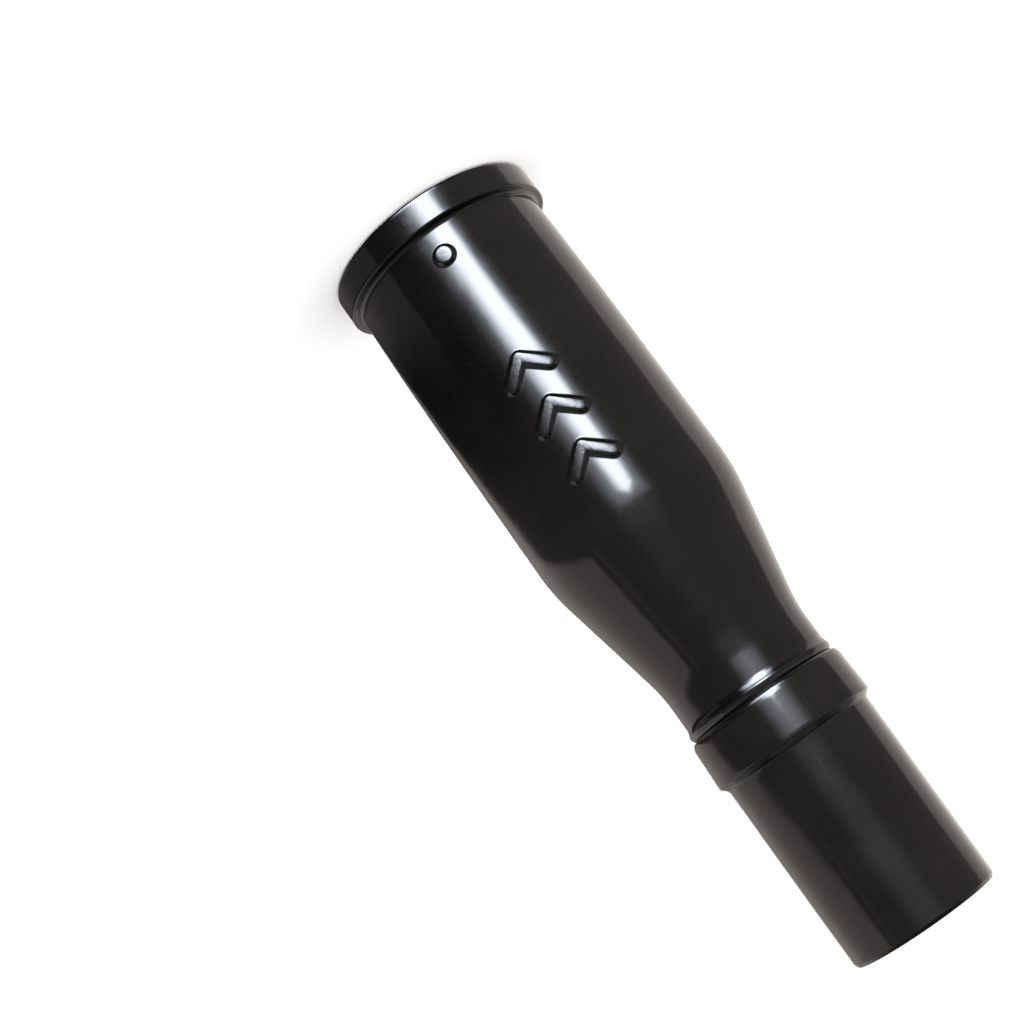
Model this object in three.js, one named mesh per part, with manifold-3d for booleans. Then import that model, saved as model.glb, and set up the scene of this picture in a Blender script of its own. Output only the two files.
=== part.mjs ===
// Spark plug cap: a straight suppressor cap with a rubber boot for the ignition lead.
// Millimetres, +Z up. The origin is the centre of the flange's end face, where the cap stands.
// The plug goes in from below, at z = 0, and the lead comes out at the top.
import * as THREE from "three";
import { mergeVertices } from "three/addons/utils/BufferGeometryUtils.js";
import Module from "manifold-3d";

const wasm = await Module();
wasm.setup();

// The plug and the lead that the cap is made for
const insulatorRadius = 5.25;
const plugNutRadius = 3.2;
const leadRadius = 3.5;

// Lengths inside, in the order met on the way up from the mouth
const sealRecess = 1.2; // mouth face to the seal
const sealLength = 18.3;
const terminalStandOff = 3.5; // top of the seal to the mouth of the terminal
const socketDepth = 9.5;
const socketFloor = 1.9;
const washerThickness = 0.6;
const webThickness = 5;
const resistorLength = 12;
const springLength = 6;
const insertLength = 5;
const screwReach = 9.5; // the point of the screw above its insert

// Lengths outside
const flangeThickness = 3.3;
const shoulderSetback = 1.5; // the shoulder below the top of the web
const neckLength = 5.6; // end of the taper to the end of the neck
const rimCover = 1.1; // end of the neck above the bottom of the insert
const spigotLength = 13.9;
const bandLength = 5.5;
const sleeveLength = 20.1;

// Cap body, radial sizes
const skirtRadius = 11.26;
const skirtDraft = 0.24; // the skirt is this much slimmer at the flange
const skirtWall = 2.05;
const flangeLip = 0.75; // the flange stands this far out from the skirt
const neckRadius = 8.05;
const rimLip = 0.45; // the neck flares this far out at its end
const spigotWall = 1.2; // round the insert
const spigotGrooveDepth = 0.5;
const spigotGrooveWidth = 2.2;
const spigotGrooveSetback = 6.3; // groove's middle below the top of the spigot

// Cap body, edges
const flangeEdge = 0.95;
const flangeFillet = 0.5;
const mouthChamfer = 0.6;
const spigotChamfer = 0.6;
const shoulderSoftness = 2.4; // each way along the profile
const neckSoftness = 1.8;
const rimFlare = 1.4;
const rimEdge = 0.3;

// Cable boot
const bandProud = 0.15; // the band stands this far out from the rim of the neck
const bandFlare = 0.13; // and this much more at its upper end
const bandLip = 0.53; // the sleeve is this much slimmer than the band
const sleeveDraft = 0.22;
const bandStep = 0.8;
const bandEdge = 0.45;
const bootEndEdge = 0.35;
const ribHeight = 0.2;
const ribCount = 3;

// Plug seal
const lipHeight = 0.75;
const lipCount = 3;
const leadInHeight = 2.2;

// Plug terminal, its clip and its washer
const socketWall = 1.3;
const terminalFlangeThickness = 1.4;
const terminalFlangeLip = 1.3;
const socketChamfer = 0.4;
const shankRadius = 3.9;
const shankChamfer = 0.5;
const clipWireRadius = 0.4;
const clipBite = 0.6; // the clip's legs reach this far into the socket
const clipHeight = 3.2; // above the mouth of the terminal
const clipGrooveFloor = 0.6; // brass left under the clip's back
const clipOverhang = 0.3; // ends of the legs beyond the terminal's side

// Resistor, spring, insert and cable screw
const resistorRadius = 2.6;
const endCapWall = 0.3;
const endCapDepth = 3;
const springWireRadius = 0.25;
const springInset = 0.3; // outside of the spring to the edge of the end cap
const springTurns = 5;
const insertLedge = 0.5; // the insert is this much wider than the lead's bore
const insertGrooveDepth = 0.4;
const screwShankRadius = 1.5;
const screwHeadLip = 0.35;
const screwHeadHeight = 0.8;
const screwSlotWidth = 0.5;
const screwSlotDepth = 0.5;
const threadRootRadius = 1.25;
const threadRadius = 0.42; // of the rounded thread itself
const threadPitch = 1.9;
const pointLength = 3.2;

// Raised marks on the skirt, on the -Y side
const reliefHeight = 0.4;
const chevronCount = 3;
const chevronPitch = 5.4;
const chevronWidth = 5.6;
const chevronRise = 2.4;
const chevronStroke = 1.5;
const chevronSetback = 12.3; // middle of the row below the shoulder
const dotRadius = 1.1;
const dotStandOff = 3.3; // middle of the dot above the flange

// Clearances
const seamGap = 0.3; // neck to boot
const fitGap = 0.2; // radial, between pieces that slide together
const mouldGap = 0.1; // radial, round what is moulded in
const touchGap = 0.05; // round wire against a flat face

// Heights
const sealTop = sealRecess + sealLength;
const terminalMouth = sealTop + terminalStandOff;
const socketEnd = terminalMouth + socketDepth;
const terminalSeat = socketEnd + socketFloor;
const webBottom = terminalSeat + washerThickness;
const webTop = webBottom + webThickness;
const springBottom = webTop + resistorLength;
const insertBottom = springBottom + springLength;
const insertTop = insertBottom + insertLength;
const shoulderHeight = webTop - shoulderSetback;
const neckEnd = insertBottom + rimCover;
const taperTop = neckEnd - neckLength;
const spigotTop = neckEnd + spigotLength;
const grooveHeight = spigotTop - spigotGrooveSetback;
const bootBottom = neckEnd + seamGap;
const bandTop = bootBottom + bandLength;
const bootTop = bandTop + sleeveLength;

// Radii that follow from the sizes above
const flangeRadius = skirtRadius + flangeLip;
const mouthRadius = skirtRadius - skirtWall;
const sealRadius = mouthRadius - fitGap;
const socketRadius = plugNutRadius + mouldGap;
const terminalRadius = socketRadius + socketWall;
const terminalFlangeRadius = terminalRadius + terminalFlangeLip;
const terminalBore = terminalFlangeRadius + 2 * fitGap;
const webHole = shankRadius + fitGap;
const endCapBore = resistorRadius + mouldGap;
const endCapRadius = endCapBore + endCapWall;
const chamberRadius = endCapRadius + seamGap;
const springRadius = endCapRadius - springInset - springWireRadius;
const cableBore = leadRadius + fitGap;
const insertRadius = cableBore + insertLedge;
const insertBore = screwShankRadius + mouldGap;
const spigotRadius = insertRadius + mouldGap + spigotWall;
const rimRadius = neckRadius + rimLip;
const bandRadius = rimRadius + bandProud;
const sleeveRadius = bandRadius - bandLip;
const gripBore = leadRadius + mouldGap;
const spigotPocket = spigotRadius + fitGap;

// How finely round shapes are cut
const bodySegments = 36;
const innerSegments = 24;
const arcSteps = 3;
const wireSteps = 3; // for half of a wire's section
const coilSteps = 14; // for each turn of a helix
const clipSteps = 36;

// A profile of r and z, turned about the Z axis. A closed one returns to its first point.
function turned(profile, segments, closed) {
  const points = profile.getPoints(arcSteps);
  if (closed) points.push(points[0].clone());
  return new THREE.LatheGeometry(points, segments).rotateX(Math.PI / 2);
}

function solidOf(geometry) {
  const bare = geometry.clone();
  bare.deleteAttribute("normal");
  bare.deleteAttribute("uv");
  const merged = mergeVertices(bare, 1e-4);
  const vertProperties = new Float32Array(merged.attributes.position.array);
  const triVerts = new Uint32Array(merged.index.array);
  return new wasm.Manifold(new wasm.Mesh({ numProp: 3, vertProperties, triVerts }));
}

function geometryOf(solid) {
  const mesh = solid.getMesh();
  const geometry = new THREE.BufferGeometry();
  geometry.setAttribute("position", new THREE.BufferAttribute(mesh.vertProperties, 3));
  geometry.setIndex(new THREE.BufferAttribute(mesh.triVerts, 1));
  geometry.computeVertexNormals();
  return geometry;
}

function box(width, depth, height, x, y, z) {
  return new THREE.BoxGeometry(width, depth, height).translate(x, y, z);
}

// The outside of the cap body from the edge of the flange to the end of the neck.
// offset moves the skirt and the taper outwards, which gives the raised marks their top.
function skirtOutline(path, offset) {
  const slope = (skirtRadius - neckRadius) / (taperTop - shoulderHeight);
  const radius = skirtRadius + offset;
  const neck = neckRadius + offset;
  const rootTop = flangeThickness + flangeFillet;
  path.lineTo(radius - skirtDraft, rootTop);
  path.quadraticCurveTo(radius, (rootTop + sealTop) / 2, radius, sealTop);
  path.lineTo(radius, shoulderHeight - shoulderSoftness);
  path.quadraticCurveTo(
    radius, shoulderHeight,
    radius - slope * shoulderSoftness, shoulderHeight + shoulderSoftness,
  );
  path.lineTo(neck + slope * neckSoftness, taperTop - neckSoftness);
  path.quadraticCurveTo(neck, taperTop, neck, taperTop + neckSoftness);
}

function bodyProfile() {
  const path = new THREE.Path();
  const grooveRadius = spigotRadius - spigotGrooveDepth;
  const grooveHalf = spigotGrooveWidth / 2;
  path.moveTo(mouthRadius + mouthChamfer, 0);
  path.lineTo(flangeRadius - flangeEdge, 0);
  path.quadraticCurveTo(flangeRadius, 0, flangeRadius, flangeEdge);
  path.lineTo(flangeRadius, flangeThickness - flangeEdge);
  path.quadraticCurveTo(
    flangeRadius, flangeThickness, flangeRadius - flangeLip / 2, flangeThickness,
  );
  skirtOutline(path, 0);
  path.lineTo(neckRadius, neckEnd - rimEdge - rimFlare);
  path.quadraticCurveTo(neckRadius, neckEnd - rimEdge, rimRadius, neckEnd - rimEdge);
  path.lineTo(rimRadius, neckEnd);
  path.lineTo(spigotRadius, neckEnd);
  path.lineTo(spigotRadius, grooveHeight - grooveHalf);
  path.lineTo(grooveRadius, grooveHeight - grooveHalf + spigotGrooveDepth);
  path.lineTo(grooveRadius, grooveHeight + grooveHalf - spigotGrooveDepth);
  path.lineTo(spigotRadius, grooveHeight + grooveHalf);
  path.lineTo(spigotRadius, spigotTop - spigotChamfer);
  path.lineTo(spigotRadius - spigotChamfer, spigotTop);
  path.lineTo(cableBore, spigotTop);
  path.lineTo(cableBore, insertTop);
  for (const point of insertSide(mouldGap)) path.lineTo(...point);
  path.lineTo(chamberRadius, insertBottom);
  path.lineTo(chamberRadius, webTop);
  path.lineTo(webHole, webTop);
  path.lineTo(webHole, webBottom);
  path.lineTo(terminalBore, webBottom);
  path.lineTo(terminalBore, sealTop);
  path.lineTo(mouthRadius, sealTop);
  path.lineTo(mouthRadius, mouthChamfer);
  return path;
}

// The insert's side, from its top down. The body is moulded into the groove round its middle.
function insertSide(gap) {
  const middle = (insertBottom + insertTop) / 2;
  const half = insertLength / 4;
  const outer = insertRadius + gap;
  const groove = outer - insertGrooveDepth;
  return [
    [outer, insertTop],
    [outer, middle + half - gap],
    [groove, middle + half - insertGrooveDepth - gap],
    [groove, middle - half + insertGrooveDepth + gap],
    [outer, middle - half + gap],
    [outer, insertBottom],
  ];
}

// One chevron in the XZ plane, its point towards the mouth of the cap.
function chevronShape(middle) {
  const half = chevronWidth / 2;
  const point = middle - (chevronRise + chevronStroke) / 2;
  const ends = point + chevronRise;
  const shape = new THREE.Shape();
  shape.moveTo(0, point);
  shape.lineTo(half, ends);
  shape.lineTo(half, ends + chevronStroke);
  shape.lineTo(0, point + chevronStroke);
  shape.lineTo(-half, ends + chevronStroke);
  shape.lineTo(-half, ends);
  shape.closePath();
  return shape;
}

function dotShape() {
  const shape = new THREE.Shape();
  shape.absarc(0, flangeThickness + dotStandOff, dotRadius, 0, 2 * Math.PI, false);
  return shape;
}

// The layer round the skirt that the raised marks are cut from. It starts inside the wall.
function reliefLayer() {
  const inside = skirtRadius - skirtWall / 2;
  const path = new THREE.Path();
  path.moveTo(inside, flangeThickness + flangeFillet);
  skirtOutline(path, reliefHeight);
  path.lineTo(neckRadius - skirtWall / 2, taperTop + neckSoftness);
  path.lineTo(neckRadius - skirtWall / 2, taperTop);
  path.lineTo(inside, shoulderHeight);
  return solidOf(turned(path, bodySegments, true));
}

// Plain raised marks: chevrons that point the way the cap is pushed on, and a mould dot.
function reliefSolid() {
  const shapes = [dotShape()];
  for (let i = 0; i < chevronCount; i += 1) {
    const step = i - (chevronCount - 1) / 2;
    shapes.push(chevronShape(shoulderHeight - chevronSetback + step * chevronPitch));
  }
  const layer = reliefLayer();
  const depth = skirtRadius + 2 * reliefHeight;
  const marks = shapes.map((shape) => {
    const prism = new THREE.ExtrudeGeometry(shape, {
      depth, bevelEnabled: false, curveSegments: 2 * wireSteps,
    });
    return solidOf(prism.rotateX(Math.PI / 2)).intersect(layer);
  });
  return marks.reduce((all, mark) => all.add(mark));
}

function capBody() {
  const body = solidOf(turned(bodyProfile(), bodySegments, true));
  return geometryOf(body.add(reliefSolid()));
}

// The rubber boot: a band next to the neck, then the sleeve that grips the lead. Inside, the
// boot has a pocket for the spigot, with a bead that snaps into the spigot's groove.
function cableBoot() {
  const path = new THREE.Path();
  const bandHigh = bandRadius + bandFlare;
  const bandShoulder = bandTop - bandStep;
  const endRadius = sleeveRadius - sleeveDraft;
  const pocketTop = spigotTop + seamGap;
  const beadRadius = spigotPocket - spigotGrooveDepth;
  const beadHalf = spigotGrooveWidth / 2 - seamGap;
  const ribSpacing = (bootTop - pocketTop) / (ribCount + 1);
  path.moveTo(spigotPocket, bootBottom);
  path.lineTo(bandRadius - bandEdge, bootBottom);
  path.quadraticCurveTo(bandRadius, bootBottom, bandRadius, bootBottom + bandEdge);
  path.lineTo(bandHigh, bandShoulder - bandEdge);
  path.quadraticCurveTo(bandHigh, bandShoulder, bandHigh - bandEdge / 2, bandShoulder + bandEdge / 2);
  path.lineTo(sleeveRadius, bandTop);
  path.lineTo(endRadius, bootTop - bootEndEdge);
  path.quadraticCurveTo(endRadius, bootTop, endRadius - bootEndEdge, bootTop);
  path.lineTo(gripBore + bootEndEdge, bootTop);
  path.lineTo(gripBore, bootTop - bootEndEdge);
  for (let i = 1; i <= ribCount; i += 1) {
    const z = bootTop - ribSpacing * i;
    path.lineTo(gripBore, z + 2 * ribHeight);
    path.lineTo(gripBore - ribHeight, z);
    path.lineTo(gripBore, z - 2 * ribHeight);
  }
  path.lineTo(gripBore, pocketTop);
  path.lineTo(spigotPocket, pocketTop);
  path.lineTo(spigotPocket, grooveHeight + beadHalf);
  path.lineTo(beadRadius, grooveHeight + beadHalf - spigotGrooveDepth);
  path.lineTo(beadRadius, grooveHeight - beadHalf + spigotGrooveDepth);
  path.lineTo(spigotPocket, grooveHeight - beadHalf);
  return turned(path, bodySegments, true);
}

// A rubber sleeve with rounded lips inside, which grip the plug's insulator.
function plugSeal() {
  const path = new THREE.Path();
  const lip = insulatorRadius;
  const valley = insulatorRadius + lipHeight;
  const lipsBottom = sealRecess + leadInHeight;
  const pitch = (sealTop - lipsBottom) / lipCount;
  path.moveTo((lip + sealRadius) / 2, sealRecess);
  path.lineTo(sealRadius, sealRecess);
  path.lineTo(sealRadius, sealTop);
  path.lineTo(valley, sealTop);
  for (let i = lipCount - 1; i >= 0; i -= 1) {
    const z = lipsBottom + pitch * i;
    path.lineTo(valley, z + pitch / 2);
    path.quadraticCurveTo(lip, z + pitch / 2, lip, z + pitch / 4);
    path.lineTo(lip, z);
    if (i > 0) path.lineTo(valley, z);
  }
  return turned(path, innerSegments, true);
}

// A turned brass socket with a shank that screws into the web.
function terminalBlank() {
  const path = new THREE.Path();
  const flangeBottom = terminalSeat - terminalFlangeThickness;
  path.moveTo(0, socketEnd);
  path.lineTo(socketRadius, socketEnd);
  path.lineTo(socketRadius, terminalMouth + socketChamfer);
  path.lineTo(socketRadius + socketChamfer, terminalMouth);
  path.lineTo(terminalRadius, terminalMouth);
  path.lineTo(terminalRadius, flangeBottom);
  path.lineTo(terminalFlangeRadius, flangeBottom);
  path.lineTo(terminalFlangeRadius, terminalSeat);
  path.lineTo(shankRadius, terminalSeat);
  path.lineTo(shankRadius, webTop - shankChamfer);
  path.lineTo(shankRadius - shankChamfer, webTop);
  path.lineTo(0, webTop);
  return solidOf(turned(path, innerSegments, false));
}

// Two saw cuts let the clip's legs into the socket, and a groove round it takes the clip's back.
function plugTerminal() {
  const cutHeight = 2 * (clipWireRadius + fitGap);
  const cutStart = socketRadius - clipBite - fitGap;
  const cutEnd = terminalRadius + fitGap;
  const z = terminalMouth + clipHeight;
  let solid = terminalBlank();
  for (const side of [-1, 1]) {
    const x = (side * (cutStart + cutEnd)) / 2;
    const cut = box(cutEnd - cutStart, 2 * cutEnd, cutHeight, x, 0, z);
    solid = solid.subtract(solidOf(cut));
  }
  const floor = socketRadius + clipGrooveFloor;
  const groove = new THREE.Path();
  groove.moveTo(floor, z - cutHeight / 2);
  groove.lineTo(cutEnd, z - cutHeight / 2);
  groove.lineTo(cutEnd, z + cutHeight / 2);
  groove.lineTo(floor, z + cutHeight / 2);
  return geometryOf(solid.subtract(solidOf(turned(groove, innerSegments, true))));
}

// A bent wire clip: its back lies in the terminal's groove and its legs cross the socket.
function terminalClip() {
  const backRadius = socketRadius + clipGrooveFloor + clipWireRadius + fitGap;
  const legX = socketRadius - clipBite + clipWireRadius;
  const legEnd = -Math.sqrt((terminalRadius + clipOverhang) ** 2 - legX ** 2);
  const bend = Math.acos(legX / backRadius);
  const bendY = backRadius * Math.sin(bend);
  const z = terminalMouth + clipHeight;
  const half = [legEnd, 0, bendY / 2, 0.8 * bendY].map((y) => new THREE.Vector3(legX, y, z));
  for (const share of [0.15, 0.45, 0.8]) {
    const angle = bend + (Math.PI / 2 - bend) * share;
    const x = backRadius * Math.cos(angle);
    half.push(new THREE.Vector3(x, backRadius * Math.sin(angle), z));
  }
  const otherHalf = half.map((point) => new THREE.Vector3(-point.x, point.y, z)).reverse();
  const curve = new THREE.CatmullRomCurve3([...half, ...otherHalf]);
  return wire(curve, clipWireRadius, clipSteps);
}

function wire(curve, radius, steps) {
  const section = new THREE.Shape();
  section.absarc(0, 0, radius, 0, 2 * Math.PI, false);
  return new THREE.ExtrudeGeometry(section, {
    extrudePath: curve, steps, curveSegments: wireSteps, bevelEnabled: false,
  });
}

function terminalWasher() {
  const path = new THREE.Path();
  path.moveTo(shankRadius + mouldGap, terminalSeat);
  path.lineTo(terminalFlangeRadius, terminalSeat);
  path.lineTo(terminalFlangeRadius, webBottom);
  path.lineTo(shankRadius + mouldGap, webBottom);
  return turned(path, innerSegments, true);
}

function resistorRod() {
  const path = new THREE.Path();
  path.moveTo(0, webTop + endCapWall);
  path.lineTo(resistorRadius, webTop + endCapWall);
  path.lineTo(resistorRadius, springBottom - endCapWall);
  path.lineTo(0, springBottom - endCapWall);
  return turned(path, innerSegments, false);
}

// A pressed metal cup over one end of the resistor. side is 1 for the lower cup, -1 for the upper.
function resistorCap(face, side) {
  const floor = face + side * endCapWall;
  const edge = face + side * endCapDepth;
  const points = [
    [0, face],
    [endCapRadius, face],
    [endCapRadius, edge],
    [endCapBore, edge],
    [endCapBore, floor],
    [0, floor],
  ];
  if (side < 0) points.reverse();
  const path = new THREE.Path();
  path.moveTo(...points[0]);
  for (const point of points.slice(1)) path.lineTo(...point);
  return turned(path, innerSegments, false);
}

class Helix extends THREE.Curve {
  constructor(turns, radiusAt, heightAt) {
    super();
    this.turns = turns;
    this.radiusAt = radiusAt;
    this.heightAt = heightAt;
  }

  getPoint(t, target = new THREE.Vector3()) {
    const angle = 2 * Math.PI * this.turns * t;
    const radius = this.radiusAt(t);
    return target.set(radius * Math.cos(angle), radius * Math.sin(angle), this.heightAt(t));
  }
}

// A compression spring with a closed coil at each end.
function contactSpring() {
  const low = springBottom + springWireRadius + touchGap;
  const high = insertBottom - springWireRadius - touchGap;
  const closed = 1 / springTurns;
  const closedRise = 2 * springWireRadius + touchGap;
  const heightAt = (t) => {
    if (t < closed) return low + (closedRise * t) / closed;
    if (t > 1 - closed) return high - (closedRise * (1 - t)) / closed;
    const share = (t - closed) / (1 - 2 * closed);
    return low + closedRise + (high - low - 2 * closedRise) * share;
  };
  const helix = new Helix(springTurns, () => springRadius, heightAt);
  return wire(helix, springWireRadius, springTurns * coilSteps);
}

function cableInsert() {
  const path = new THREE.Path();
  path.moveTo(insertBore, insertBottom);
  for (const point of insertSide(0).reverse()) path.lineTo(...point);
  path.lineTo(insertBore, insertTop);
  return turned(path, innerSegments, true);
}

// A screw with a coarse thread and a point, which bites into the core of the lead. Its slotted
// head is under the insert.
function cableScrew() {
  const headRadius = screwShankRadius + screwHeadLip;
  const headBottom = insertBottom - screwHeadHeight;
  const threadBottom = insertTop + threadPitch / 2;
  const tip = insertTop + screwReach;
  const path = new THREE.Path();
  path.moveTo(0, headBottom);
  path.lineTo(headRadius, headBottom);
  path.lineTo(headRadius, insertBottom);
  path.lineTo(screwShankRadius, insertBottom);
  path.lineTo(screwShankRadius, insertTop + fitGap);
  path.lineTo(threadRootRadius, threadBottom);
  path.lineTo(threadRootRadius, tip - pointLength);
  path.lineTo(0, tip);
  const core = solidOf(turned(path, innerSegments, false));
  const threadLength = tip - pointLength / 4 - threadBottom;
  const turns = threadLength / threadPitch;
  const heightAt = (t) => threadBottom + threadLength * t;
  const radiusAt = (t) => threadRootRadius * Math.min(1, (tip - heightAt(t)) / pointLength);
  const helix = new Helix(turns, radiusAt, heightAt);
  const thread = solidOf(wire(helix, threadRadius, Math.round(turns * coilSteps)));
  const slot = box(3 * headRadius, screwSlotWidth, 2 * screwSlotDepth, 0, 0, headBottom);
  return geometryOf(core.add(thread).subtract(solidOf(slot)));
}

function finish(color, roughness, metalness) {
  return new THREE.MeshStandardMaterial({ color, roughness, metalness });
}

const phenolic = finish(0x1b1a19, 0.22, 0);
const bootRubber = finish(0x222120, 0.45, 0);
const sealRubber = finish(0x201f1e, 0.6, 0);
const brass = finish(0xb5934a, 0.3, 1);
const springSteel = finish(0x9a9ca0, 0.35, 1);
const fibre = finish(0x8a4a38, 0.7, 0);
const ceramic = finish(0xd9d2c4, 0.5, 0);
const plating = finish(0xb9bbbd, 0.25, 1);

const cap = new THREE.Group();

function place(name, geometry, material) {
  const mesh = new THREE.Mesh(geometry, material);
  mesh.name = name;
  cap.add(mesh);
}

place("cap_body", capBody(), phenolic);
place("cable_boot", cableBoot(), bootRubber);
place("plug_seal", plugSeal(), sealRubber);
place("plug_terminal", plugTerminal(), brass);
place("terminal_clip", terminalClip(), springSteel);
place("terminal_washer", terminalWasher(), fibre);
place("resistor_rod", resistorRod(), ceramic);
place("resistor_cap_plug_side", resistorCap(webTop, 1), plating);
place("resistor_cap_cable_side", resistorCap(springBottom, -1), plating);
place("contact_spring", contactSpring(), springSteel);
place("cable_insert", cableInsert(), brass);
place("cable_screw", cableScrew(), brass);

export default cap;
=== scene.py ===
import math

import bpy
from mathutils import Matrix, Vector, noise


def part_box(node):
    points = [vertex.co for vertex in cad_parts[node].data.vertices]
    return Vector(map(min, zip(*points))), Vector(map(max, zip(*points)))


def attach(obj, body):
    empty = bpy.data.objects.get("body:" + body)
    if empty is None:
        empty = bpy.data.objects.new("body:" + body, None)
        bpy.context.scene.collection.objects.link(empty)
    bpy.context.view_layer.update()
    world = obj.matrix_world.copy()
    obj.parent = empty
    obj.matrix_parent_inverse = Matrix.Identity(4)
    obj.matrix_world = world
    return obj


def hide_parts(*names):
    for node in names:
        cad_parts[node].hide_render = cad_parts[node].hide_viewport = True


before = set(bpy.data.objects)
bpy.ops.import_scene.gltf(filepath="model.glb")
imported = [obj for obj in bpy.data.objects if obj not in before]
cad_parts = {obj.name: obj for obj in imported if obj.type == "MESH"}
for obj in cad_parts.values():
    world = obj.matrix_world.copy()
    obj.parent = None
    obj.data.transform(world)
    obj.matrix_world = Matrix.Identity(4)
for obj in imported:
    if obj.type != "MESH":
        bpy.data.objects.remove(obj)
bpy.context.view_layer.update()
print("frame loaded:", len(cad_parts), "nodes")

millimetre = 0.001


def extent(node):
    low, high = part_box(node)  # bottom, top and radius, in millimetres
    return low.z / millimetre, high.z / millimetre, high.x / millimetre


# Profiles are points of radius and height, in millimetres
def along(start, end, distance):
    length = math.dist(start, end)
    share = min(0.49, distance / length) if length else 0
    return tuple(a + (b - a) * share for a, b in zip(start, end))


def curved(start, control, end, steps):
    points = []
    for i in range(steps + 1):
        t = i / steps
        points.append(tuple(
            (1 - t) ** 2 * a + 2 * t * (1 - t) * c + t * t * b
            for a, c, b in zip(start, control, end)
        ))
    return points


def spaced(start, end, step):
    count = max(1, round(math.dist(start, end) / step))
    return [tuple(a + (b - a) * i / count for a, b in zip(start, end)) for i in range(count + 1)]


# Corners are (radius, height, rounding). Each one that has a rounding becomes an arc, and the
# straight stretches get a row of points near each end, which keeps their shading flat.
def rounded(corners, closed=True, steps=5, support=0.06):
    points = []
    count = len(corners)
    for i, corner in enumerate(corners):
        here = corner[:2]
        if not corner[2] or (not closed and i in (0, count - 1)):
            points.append(here)
            continue
        before = corners[i - 1][:2]
        after = corners[(i + 1) % count][:2]
        points += curved(along(here, before, corner[2]), here, along(here, after, corner[2]), steps)
    return supported(points, closed, support)


def supported(points, closed, support):
    result = []
    last = len(points) if closed else len(points) - 1
    for i in range(last):
        start, end = points[i], points[(i + 1) % len(points)]
        length = math.dist(start, end)
        if length < 1e-5:
            continue
        result.append(start)
        if length > 6 * support:
            result.append(along(start, end, support))
            result.append(along(end, start, support))
    if not closed:
        result.append(points[-1])
    return result


def meshFrom(name, vertices, faces, crease=40):
    mesh = bpy.data.meshes.new(name)
    scaled = [(x * millimetre, y * millimetre, z * millimetre) for x, y, z in vertices]
    mesh.from_pydata(scaled, [], faces)
    mesh.validate()
    mesh.shade_smooth()
    mesh.set_sharp_from_angle(angle=math.radians(crease))
    mesh.update()
    piece = bpy.data.objects.new(name, mesh)
    bpy.context.scene.collection.objects.link(piece)
    return piece


def evenTurn(columns):
    return [2 * math.pi * i / columns for i in range(columns)]


# Turns a profile about Z. relief(angle, radius, height) moves a point out along its radius.
def turned(name, profile, angles, closed=True, relief=None, crease=40):
    vertices, rings = [], []
    for radius, height in profile:
        if radius < 1e-6:
            rings.append([len(vertices)])
            vertices.append((0.0, 0.0, height))
            continue
        ring = []
        for angle in angles:
            out = radius + (relief(angle, radius, height) if relief else 0)
            ring.append(len(vertices))
            vertices.append((out * math.cos(angle), out * math.sin(angle), height))
        rings.append(ring)
    faces = []
    count = len(angles)
    pairs = list(zip(rings, rings[1:]))
    if closed:
        pairs.append((rings[-1], rings[0]))
    for lower, upper in pairs:
        for i in range(count):
            j = (i + 1) % count
            if len(lower) == 1 and len(upper) == 1:
                continue
            if len(lower) == 1:
                faces.append((lower[0], upper[j], upper[i]))
            elif len(upper) == 1:
                faces.append((lower[i], lower[j], upper[0]))
            else:
                faces.append((lower[i], lower[j], upper[j], upper[i]))
    return meshFrom(name, vertices, faces, crease)


# A wire along a path, with a radius at each point, closed at both ends.
def swept(name, path, radii, sides=14, crease=50):
    path = [Vector(point) for point in path]
    vertices, faces = [], []
    tangent = (path[1] - path[0]).normalized()
    across = tangent.orthogonal().normalized()
    for i, point in enumerate(path):
        ahead = path[min(i + 1, len(path) - 1)] - path[max(i - 1, 0)]
        turn = tangent.rotation_difference(ahead.normalized())
        across = turn @ across
        tangent = ahead.normalized()
        across = (across - tangent * across.dot(tangent)).normalized()
        side = tangent.cross(across)
        for k in range(sides):
            angle = 2 * math.pi * k / sides
            vertices.append(tuple(
                point + (across * math.cos(angle) + side * math.sin(angle)) * radii[i]
            ))
    for i in range(len(path) - 1):
        for k in range(sides):
            a, b = i * sides + k, i * sides + (k + 1) % sides
            faces.append((a, b, b + sides, a + sides))
    first, last = len(vertices), len(vertices) + 1
    vertices += [tuple(path[0]), tuple(path[-1])]
    end = (len(path) - 1) * sides
    for k in range(sides):
        j = (k + 1) % sides
        faces.append((first, j, k))
        faces.append((last, end + k, end + j))
    return meshFrom(name, vertices, faces, crease)


# A wire's radius at each point, getting thin over a few steps at both ends
def roundedEnds(count, radius, steps):
    radii = []
    for i in range(count):
        share = min(1.0, (min(i, count - 1 - i) + 0.35) / steps)
        radii.append(radius * math.sqrt(max(0.0, 1 - (1 - share) ** 2)))
    return radii


def cutBoxes(piece, boxes, crease=35):
    cutters = []
    sides = [(0, 2, 3, 1), (4, 5, 7, 6), (0, 1, 5, 4), (2, 6, 7, 3), (0, 4, 6, 2), (1, 3, 7, 5)]
    for low, high in boxes:
        xs, ys, zs = zip(low, high)
        corners = [(x, y, z) for z in zs for y in ys for x in xs]
        cutter = meshFrom("sawCut", corners, sides)
        modifier = piece.modifiers.new("sawCut", "BOOLEAN")
        modifier.operation = "DIFFERENCE"
        modifier.solver = "EXACT"
        modifier.object = cutter
        cutters.append(cutter)
    bpy.context.view_layer.update()
    graph = bpy.context.evaluated_depsgraph_get()
    cut = bpy.data.meshes.new_from_object(piece.evaluated_get(graph))
    piece.modifiers.clear()
    piece.data = cut
    cut.shade_smooth()
    cut.set_sharp_from_angle(angle=math.radians(crease))
    for cutter in cutters:
        bpy.data.objects.remove(cutter)


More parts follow.
